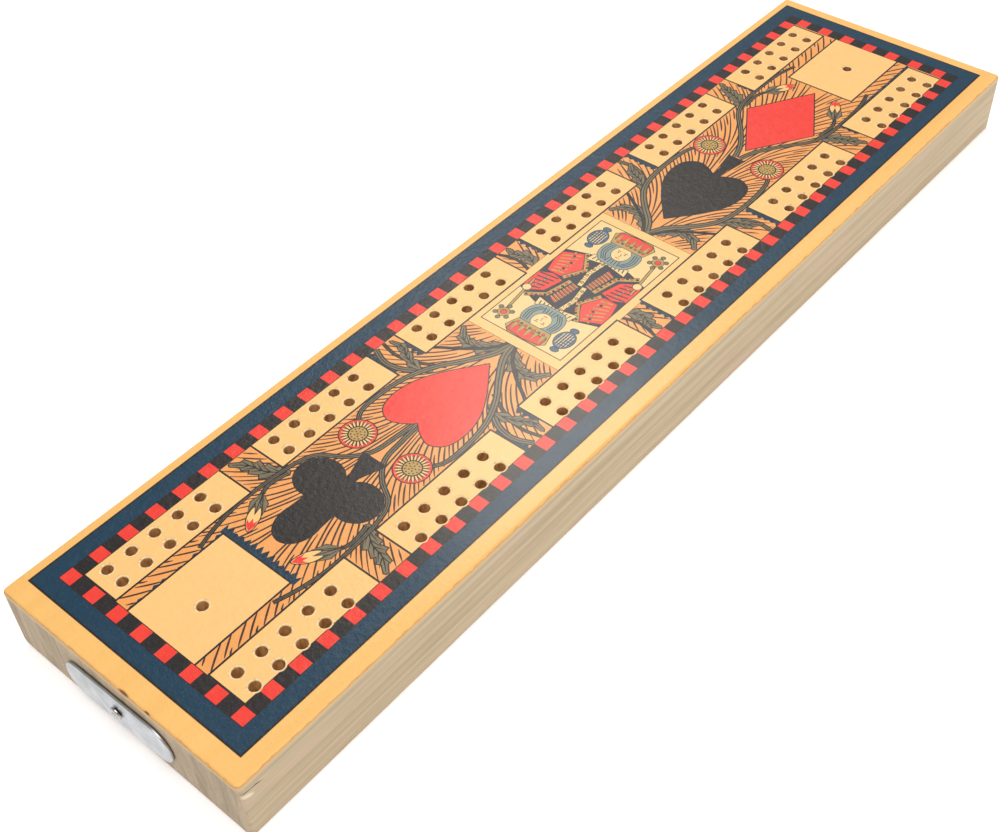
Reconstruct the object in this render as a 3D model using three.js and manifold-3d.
// A continuous-track cribbage board: a softwood block drilled with peg holes, six pegs stored in
// two blind bores in its near end, and a steel cover plate that swings on one screw over the bores.
// Millimetres. +X runs along the board towards the far end, +Y to its left side, +Z up.
// The origin is the centre of the underside of the wooden board.
import * as THREE from "three";
import { mergeVertices } from "three/addons/utils/BufferGeometryUtils.js";
import Module from "manifold-3d";

const wasm = await Module();
wasm.setup();

// ---- Board: a planed strip 90 mm wide and 7/8 in thick
const BOARD_LENGTH = 369;
const BOARD_WIDTH = 90;
const BOARD_HEIGHT = 22.2;
const CORNER_RADIUS = 1.6;
const EDGE_ROUNDING = 1;
const EDGE_STEPS = 2;
const CORNER_STEPS = 3;

// ---- Peg holes: 1/8 in drill on a 5/16 in pitch, in groups of five
const HOLE_RADIUS = 1.6;
const HOLE_DEPTH = 10;
const HOLE_SIDES = 12;
const HOLES_IN_GROUP = 5;
const HOLE_PITCH = 7.92;
const GROUP_COUNT = 6;
const GROUP_PITCH = 58.85;
const PATTERN_X = 0.1;
const PATTERN_Y = 0.6;
const INNER_ROW_Y = 21.9;
const OUTER_ROW_Y = 28.05;
const GAME_HOLE_NEAR_X = -155;
const GAME_HOLE_FAR_X = 155.1;
const GAME_HOLE_Y = 0.5;

// ---- Peg storage: two 3/8 in bores in the near end, one each side of the screw
const STORE_RADIUS = 4.76;
const STORE_DEPTH = 48;
const STORE_SIDES = 20;
const STORE_Y = 14;
const PIVOT_Y = 0.4;
const PIVOT_Z = 10.7;
const NEAR_END_X = -BOARD_LENGTH / 2;

// ---- Cover plate and its screw
const GAP = 0.25;
const PLATE_LENGTH = 41.4;
const PLATE_WIDTH = 12.8;
const PLATE_THICKNESS = 0.8;
const PLATE_TILT = (3 * Math.PI) / 180;
const PLATE_EDGE = 0.2;
const PLATE_ARC_STEPS = 14;
const PLATE_HOLE_RADIUS = 1.5;
const SHANK_RADIUS = 1.25;
const SHANK_DEPTH = 13;
const SHANK_POINT = 3;
const HEAD_RADIUS = 2;
const HEAD_HEIGHT = 0.9;
const HEAD_STEPS = 4;
const RECESS_RADIUS = 0.95;
const RECESS_DEPTH = 0.7;
const SCREW_SIDES = 20;

// ---- Pegs: turned, 34 mm long, three lying in each bore
const PEG_LENGTH = 34;
const PEG_HEAD_RADIUS = 1.9;
const PEG_NECK_RADIUS = 1.1;
const PEG_SHANK_RADIUS = 1.45;
const PEG_TIP_RADIUS = 0.95;
const PEG_SIDES = 12;
const PEG_END_PLAY = 0.7;
const PEG_SETBACK = STORE_DEPTH - PEG_END_PLAY - PEG_LENGTH;
const PEG_SPREAD = 2.38;
const PEGS_IN_BORE = 3;

// ---- Materials
const PINE = new THREE.MeshStandardMaterial({ color: "#e3c796", roughness: 0.5, metalness: 0 });
const STEEL = new THREE.MeshStandardMaterial({ color: "#d3d8de", roughness: 0.3, metalness: 1 });
const NICKEL = new THREE.MeshStandardMaterial({ color: "#b9bcc0", roughness: 0.25, metalness: 1 });
const RED = new THREE.MeshStandardMaterial({ color: "#c9281f", roughness: 0.4, metalness: 0 });
const BLUE = new THREE.MeshStandardMaterial({ color: "#1f3f66", roughness: 0.4, metalness: 0 });

// A closed three.js geometry as a solid that can be cut or joined.
function solid(geometry) {
  const bare = geometry.index ? geometry.toNonIndexed() : geometry.clone();
  bare.deleteAttribute("normal");
  bare.deleteAttribute("uv");
  const merged = mergeVertices(bare, 1e-4);
  const mesh = new wasm.Mesh({
    numProp: 3,
    vertProperties: merged.attributes.position.array,
    triVerts: new Uint32Array(merged.index.array),
  });
  return new wasm.Manifold(mesh);
}

// A solid's surface as a three.js geometry.
function surface(body) {
  const mesh = body.getMesh();
  const geometry = new THREE.BufferGeometry();
  geometry.setAttribute("position", new THREE.BufferAttribute(mesh.vertProperties, 3));
  geometry.setIndex(new THREE.BufferAttribute(mesh.triVerts, 1));
  geometry.computeVertexNormals();
  return geometry;
}

// A rectangle with round corners, centred on the origin of its plane.
function roundedRectangle(length, width, radius) {
  const x = length / 2;
  const y = width / 2;
  const shape = new THREE.Shape();
  shape.moveTo(x - radius, -y);
  shape.absarc(x - radius, -y + radius, radius, -Math.PI / 2, 0, false);
  shape.absarc(x - radius, y - radius, radius, 0, Math.PI / 2, false);
  shape.absarc(-x + radius, y - radius, radius, Math.PI / 2, Math.PI, false);
  shape.absarc(-x + radius, -y + radius, radius, Math.PI, Math.PI * 1.5, false);
  return shape;
}

// A blind hole's solid, drilled down from the top face.
function pegHole(x, y) {
  const above = 1;
  const length = HOLE_DEPTH + above;
  const drill = new THREE.CylinderGeometry(HOLE_RADIUS, HOLE_RADIUS, length, HOLE_SIDES);
  drill.rotateX(Math.PI / 2);
  drill.translate(x, y, BOARD_HEIGHT + above - length / 2);
  return solid(drill);
}

// A blind bore's solid, drilled in from the near end along +X, at a distance y from the screw.
function endBore(y, radius, depth, sides) {
  const outside = 1;
  const length = depth + outside;
  const drill = new THREE.CylinderGeometry(radius, radius, length, sides);
  drill.rotateZ(Math.PI / 2);
  drill.translate(NEAR_END_X - outside + length / 2, PIVOT_Y + y, PIVOT_Z);
  return solid(drill);
}

// Where the peg holes are: two double rows of groups, and one game hole in each end square.
function holePlaces() {
  const places = [
    [GAME_HOLE_NEAR_X, GAME_HOLE_Y],
    [GAME_HOLE_FAR_X, GAME_HOLE_Y],
  ];
  for (let group = 0; group < GROUP_COUNT; group += 1) {
    const groupX = PATTERN_X + (group - (GROUP_COUNT - 1) / 2) * GROUP_PITCH;
    for (let hole = 0; hole < HOLES_IN_GROUP; hole += 1) {
      const x = groupX + (hole - (HOLES_IN_GROUP - 1) / 2) * HOLE_PITCH;
      for (const row of [-OUTER_ROW_Y, -INNER_ROW_Y, INNER_ROW_Y, OUTER_ROW_Y]) {
        places.push([x, PATTERN_Y + row]);
      }
    }
  }
  return places;
}

function boardBody() {
  const outline = roundedRectangle(BOARD_LENGTH, BOARD_WIDTH, CORNER_RADIUS);
  const block = new THREE.ExtrudeGeometry(outline, {
    depth: BOARD_HEIGHT - 2 * EDGE_ROUNDING,
    curveSegments: CORNER_STEPS,
    bevelEnabled: true,
    bevelThickness: EDGE_ROUNDING,
    bevelSize: EDGE_ROUNDING,
    bevelOffset: -EDGE_ROUNDING,
    bevelSegments: EDGE_STEPS,
  });
  block.translate(0, 0, EDGE_ROUNDING);
  const drilled = wasm.Manifold.union([
    ...holePlaces().map(([x, y]) => pegHole(x, y)),
    endBore(-STORE_Y, STORE_RADIUS, STORE_DEPTH, STORE_SIDES),
    endBore(STORE_Y, STORE_RADIUS, STORE_DEPTH, STORE_SIDES),
    endBore(0, SHANK_RADIUS + GAP, SHANK_DEPTH + GAP, SCREW_SIDES),
  ]);
  return surface(solid(block).subtract(drilled));
}

// A stadium of sheet metal with eased edges and a round hole at its middle. It is drawn flat, then
// stood in the YZ plane with its length along Y and its back face at x = its thickness. It hangs a
// little askew on its screw, its left end lower.
function coverPlate() {
  const radius = PLATE_WIDTH / 2;
  const reach = PLATE_LENGTH / 2 - radius;
  const outline = new THREE.Shape();
  outline.moveTo(-reach, -radius);
  outline.lineTo(reach, -radius);
  outline.absarc(reach, 0, radius, -Math.PI / 2, Math.PI / 2, false);
  outline.lineTo(-reach, radius);
  outline.absarc(-reach, 0, radius, Math.PI / 2, Math.PI * 1.5, false);
  const sheet = new THREE.ExtrudeGeometry(outline, {
    depth: PLATE_THICKNESS - 2 * PLATE_EDGE,
    curveSegments: PLATE_ARC_STEPS,
    bevelEnabled: true,
    bevelThickness: PLATE_EDGE,
    bevelSize: PLATE_EDGE,
    bevelOffset: -PLATE_EDGE,
    bevelSegments: 1,
  });
  sheet.translate(0, 0, PLATE_EDGE);
  const punch = new THREE.CylinderGeometry(
    PLATE_HOLE_RADIUS, PLATE_HOLE_RADIUS, 3 * PLATE_THICKNESS, SCREW_SIDES);
  punch.rotateX(Math.PI / 2);
  const plate = surface(solid(sheet).subtract(solid(punch)));
  plate.rotateX(Math.PI / 2);
  plate.rotateZ(Math.PI / 2);
  plate.rotateX(-PLATE_TILT);
  return plate;
}

// A pan-head wood screw along -X: its head outside the plate, its shank in the board's pilot hole.
// The profile is given as [radius, distance out of the end face].
function pivotScrew() {
  const underHead = GAP + PLATE_THICKNESS + GAP;
  const profile = [
    new THREE.Vector2(0, -SHANK_DEPTH),
    new THREE.Vector2(SHANK_RADIUS, SHANK_POINT - SHANK_DEPTH),
    new THREE.Vector2(SHANK_RADIUS, underHead),
    new THREE.Vector2(HEAD_RADIUS, underHead),
  ];
  for (let step = 0; step < HEAD_STEPS; step += 1) {
    const turn = (step / HEAD_STEPS) * (Math.PI / 2);
    const radius = RECESS_RADIUS + (HEAD_RADIUS - RECESS_RADIUS) * Math.cos(turn);
    const height = HEAD_HEIGHT * (0.35 + 0.65 * Math.sin(turn));
    profile.push(new THREE.Vector2(radius, underHead + height));
  }
  profile.push(new THREE.Vector2(RECESS_RADIUS, underHead + HEAD_HEIGHT));
  profile.push(new THREE.Vector2(0, underHead + HEAD_HEIGHT - RECESS_DEPTH));
  const screw = new THREE.LatheGeometry(profile, SCREW_SIDES);
  screw.rotateZ(Math.PI / 2);
  return surface(solid(screw));
}

// A turned peg along +X, its head at x = 0: ball head, narrow neck and a tapering shank.
function peg() {
  const profile = [
    [0, 0],
    [1.15, 0.25],
    [PEG_HEAD_RADIUS, 1.6],
    [PEG_HEAD_RADIUS, 2.4],
    [PEG_NECK_RADIUS, 4.2],
    [PEG_SHANK_RADIUS, 5.6],
    [PEG_SHANK_RADIUS, 18],
    [PEG_TIP_RADIUS, PEG_LENGTH - 0.6],
    [0, PEG_LENGTH],
  ].map(([radius, along]) => new THREE.Vector2(radius, along));
  const turned = new THREE.LatheGeometry(profile, PEG_SIDES);
  turned.rotateZ(-Math.PI / 2);
  return surface(solid(turned));
}

function piece(name, geometry, material) {
  const mesh = new THREE.Mesh(geometry, material);
  mesh.name = name;
  return mesh;
}

const board = new THREE.Group();
board.add(piece("board_body", boardBody(), PINE));

const cover = piece("cover_plate", coverPlate(), STEEL);
cover.position.set(NEAR_END_X - GAP - PLATE_THICKNESS, PIVOT_Y, PIVOT_Z);
board.add(cover);

const screw = piece("pivot_screw", pivotScrew(), NICKEL);
screw.position.set(NEAR_END_X, PIVOT_Y, PIVOT_Z);
board.add(screw);

const PLAYERS = [
  { colour: "red", material: RED, boreY: -STORE_Y },
  { colour: "blue", material: BLUE, boreY: STORE_Y },
];
for (const { colour, material, boreY } of PLAYERS) {
  const bore = new THREE.Group();
  bore.position.set(NEAR_END_X + PEG_SETBACK, PIVOT_Y + boreY, PIVOT_Z);
  for (let index = 0; index < PEGS_IN_BORE; index += 1) {
    const turn = Math.PI / 2 + (index * 2 * Math.PI) / PEGS_IN_BORE;
    const stored = piece(`${colour}_peg_${index + 1}`, peg(), material);
    stored.position.set(0, PEG_SPREAD * Math.cos(turn), PEG_SPREAD * Math.sin(turn));
    bore.add(stored);
  }
  board.add(bore);
}

export default board;
